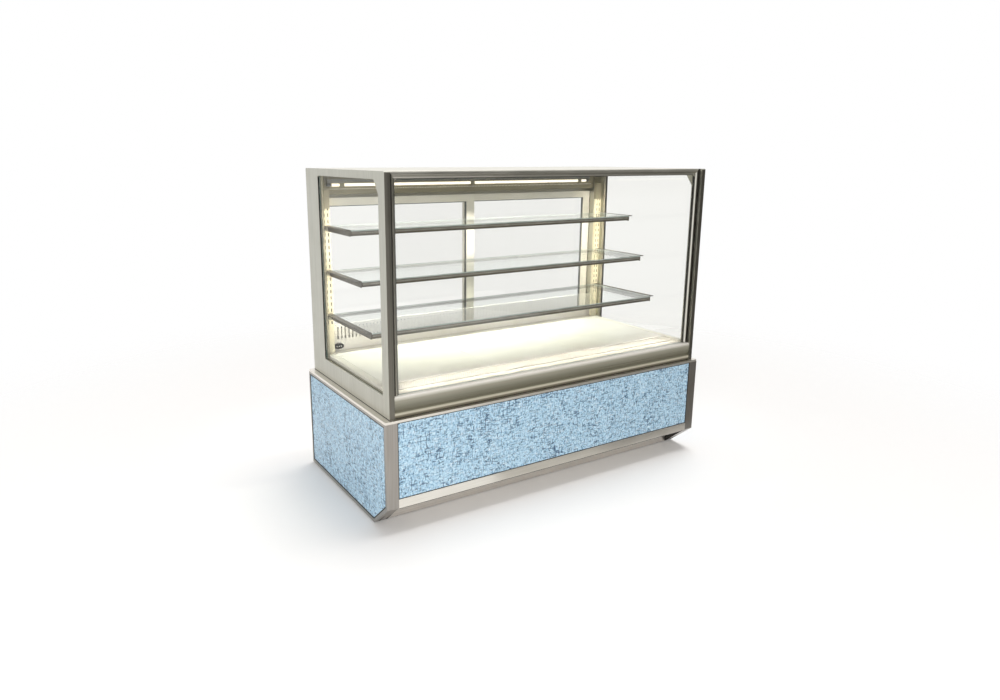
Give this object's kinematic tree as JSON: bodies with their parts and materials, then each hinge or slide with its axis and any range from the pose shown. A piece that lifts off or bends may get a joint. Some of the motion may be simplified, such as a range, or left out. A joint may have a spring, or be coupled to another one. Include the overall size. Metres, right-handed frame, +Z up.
{
  "type": "refrigerated display case",
  "caption": "Free-standing refrigerated bakery case with straight lift-up front glass, glass shelves, rear sliding doors and a laminate-clad machine base.",
  "frame": {"origin": "on the floor under the middle of the case", "axes": "+Z up, +X along the case to the right as the customer sees it, -Y towards the customer"},
  "size_m": [1.5, 0.734, 1.228],
  "materials": {
    "stainless": "satin brushed stainless",
    "frame_metal": "satin anodised, warm grey",
    "laminate": "printed high pressure laminate on board",
    "liner": "cream powder coat",
    "foamed_body": "cream coated, foam filled",
    "clear_glass": "polished float glass",
    "shelf_glass": "polished float glass, green edge",
    "seal": "black seal",
    "lamp_white": "frosted lamp tube",
    "galvanised": "zinc coated sheet",
    "shelf_metal": "dark taupe powder coat",
    "machine_black": "black enamel",
    "fin_aluminium": "bare rolled fins",
    "copper": "drawn copper tube",
    "fan_plastic": "moulded black",
    "grey_plastic": "moulded grey",
    "control_black": "moulded black",
    "foot_steel": "zinc plated"
  },
  "bodies": {
    "cabinet": {"levelling_feet": "foot_steel", "chassis_frame": "galvanised", "base_floor_pan": "galvanised", "end_panel_left": "laminate", "end_panel_right": "laminate", "end_panel_edging": "stainless", "front_laminate_panel": "laminate", "corner_posts": "stainless", "base_top_trim": "stainless", "base_bottom_trim": "stainless", "toe_kick": "stainless", "rear_service_panel": "galvanised", "service_panel_screws": "foot_steel", "compressor": "machine_black", "condenser_coil": "fin_aluminium", "condenser_fan_shroud": "galvanised", "condenser_fan_motor": "machine_black", "refrigerant_lines": "copper", "condensate_pan": "galvanised", "electrical_box": "grey_plastic", "power_gland": "grey_plastic", "insulated_tub": "foamed_body", "evaporator_coil": "fin_aluminium", "evaporator_fan_plate": "galvanised", "evaporator_fan_motors": "grey_plastic", "deck_pans": "liner", "front_air_grille": "liner", "rear_air_panel": "liner", "end_frame_left": "frame_metal", "end_frame_right": "frame_metal", "end_glass_panes": "clear_glass", "end_glass_gaskets": "seal", "top_panel": "liner", "rear_header": "frame_metal", "lower_front_rail": "frame_metal", "rear_wall": "foamed_body", "shelf_uprights": "liner", "shelf_led_strips": "lamp_white", "lamp_tube": "lamp_white", "lamp_channel": "liner", "thermometer": "control_black", "door_tracks": "frame_metal", "shelf_1_frame": "shelf_metal", "shelf_1_glass": "shelf_glass", "shelf_2_frame": "shelf_metal", "shelf_2_glass": "shelf_glass", "shelf_3_frame": "shelf_metal", "shelf_3_glass": "shelf_glass"},
    "front_glass": {"front_glass_frame": "frame_metal", "front_glass_pane": "clear_glass", "front_glass_hinge_pins": "foot_steel"},
    "rear_door_left": {"rear_door_left_frame": "frame_metal", "rear_door_left_glass": "clear_glass"},
    "rear_door_right": {"rear_door_right_frame": "frame_metal", "rear_door_right_glass": "clear_glass"},
    "condenser_fan": {"condenser_fan": "fan_plastic"},
    "evaporator_fan_left": {"evaporator_fan_left": "fan_plastic"},
    "evaporator_fan_right": {"evaporator_fan_right": "fan_plastic"},
    "thermostat_knob": {"thermostat_knob": "control_black"},
    "light_switch": {"light_switch_rocker": "control_black"}
  },
  "joints": [
    {"name": "front_glass_lift", "type": "hinge", "parent": "cabinet", "child": "front_glass", "pos_m": [0, -0.324, 1.222], "axis": [-1, 0, 0], "range_deg": [0, 80]},
    {"name": "rear_door_left_slide", "type": "slide", "parent": "cabinet", "child": "rear_door_left", "axis": [1, 0, 0], "range_m": [0, 0.66]},
    {"name": "rear_door_right_slide", "type": "slide", "parent": "cabinet", "child": "rear_door_right", "axis": [-1, 0, 0], "range_m": [0, 0.66]},
    {"name": "condenser_fan_spin", "type": "hinge", "parent": "cabinet", "child": "condenser_fan", "pos_m": [-0.02, 0.237, 0.166], "axis": [0, 1, 0], "continuous": true},
    {"name": "evaporator_fan_left_spin", "type": "hinge", "parent": "cabinet", "child": "evaporator_fan_left", "pos_m": [-0.26, 0.101, 0.398], "axis": [0, 1, 0], "continuous": true},
    {"name": "evaporator_fan_right_spin", "type": "hinge", "parent": "cabinet", "child": "evaporator_fan_right", "pos_m": [0.26, 0.101, 0.398], "axis": [0, 1, 0], "continuous": true},
    {"name": "thermostat_turn", "type": "hinge", "parent": "cabinet", "child": "thermostat_knob", "pos_m": [0.56, 0.352, 0.478], "axis": [0, 1, 0], "range_deg": [0, 270]},
    {"name": "light_switch_rock", "type": "hinge", "parent": "cabinet", "child": "light_switch", "pos_m": [0.62, 0.349, 0.478], "axis": [1, 0, 0], "range_deg": [-16, 0]}
  ]
}
